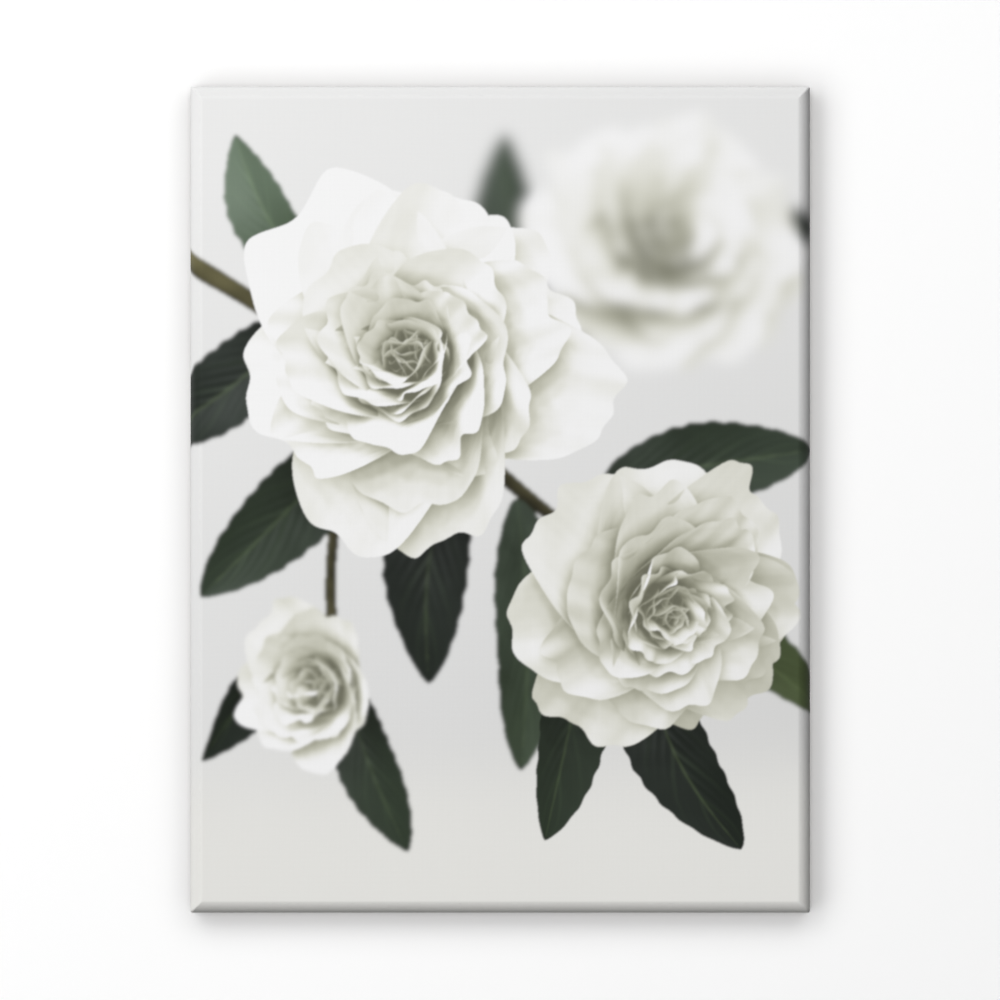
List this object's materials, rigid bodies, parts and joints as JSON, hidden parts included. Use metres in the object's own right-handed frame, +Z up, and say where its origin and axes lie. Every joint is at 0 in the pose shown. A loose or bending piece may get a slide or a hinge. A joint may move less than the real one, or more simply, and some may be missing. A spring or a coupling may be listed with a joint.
{
  "type": "stretched canvas print",
  "caption": "Rectangular flower picture printed on canvas, wrapped over a keyed wooden stretcher frame and stapled behind, with a sawtooth hanger for a wall nail.",
  "frame": {"origin": "apex of the hanger's middle notch, half way through its strip, where the wall nail sits", "axes": "+Z up the wall, +X right as seen from the front, +Y into the wall; the picture faces -Y"},
  "size_m": [0.3, 0.0215, 0.4],
  "materials": {
    "canvas": "matte print on primed woven canvas",
    "pine": "planed, unvarnished",
    "key_wood": "sawn hardwood",
    "staple_steel": "galvanised",
    "hanger_brass": "brass plated"
  },
  "bodies": {
    "root": {"canvas": "canvas", "bar_bottom": "pine", "bar_right": "pine", "bar_top": "pine", "bar_left": "pine", "key_bottom_a": "key_wood", "key_bottom_b": "key_wood", "key_right_a": "key_wood", "key_right_b": "key_wood", "key_top_a": "key_wood", "key_top_b": "key_wood", "key_left_a": "key_wood", "key_left_b": "key_wood", "staple_bottom_1": "staple_steel", "staple_bottom_2": "staple_steel", "staple_bottom_3": "staple_steel", "staple_bottom_4": "staple_steel", "staple_bottom_5": "staple_steel", "staple_bottom_6": "staple_steel", "staple_bottom_7": "staple_steel", "staple_right_1": "staple_steel", "staple_right_2": "staple_steel", "staple_right_3": "staple_steel", "staple_right_4": "staple_steel", "staple_right_5": "staple_steel", "staple_right_6": "staple_steel", "staple_right_7": "staple_steel", "staple_top_1": "staple_steel", "staple_top_2": "staple_steel", "staple_top_3": "staple_steel", "staple_top_4": "staple_steel", "staple_top_5": "staple_steel", "staple_top_6": "staple_steel", "staple_top_7": "staple_steel", "staple_left_1": "staple_steel", "staple_left_2": "staple_steel", "staple_left_3": "staple_steel", "staple_left_4": "staple_steel", "staple_left_5": "staple_steel", "staple_left_6": "staple_steel", "staple_left_7": "staple_steel", "hanger": "hanger_brass", "hanger_nail_left": "hanger_brass", "hanger_nail_right": "hanger_brass"}
  },
  "joints": []
}
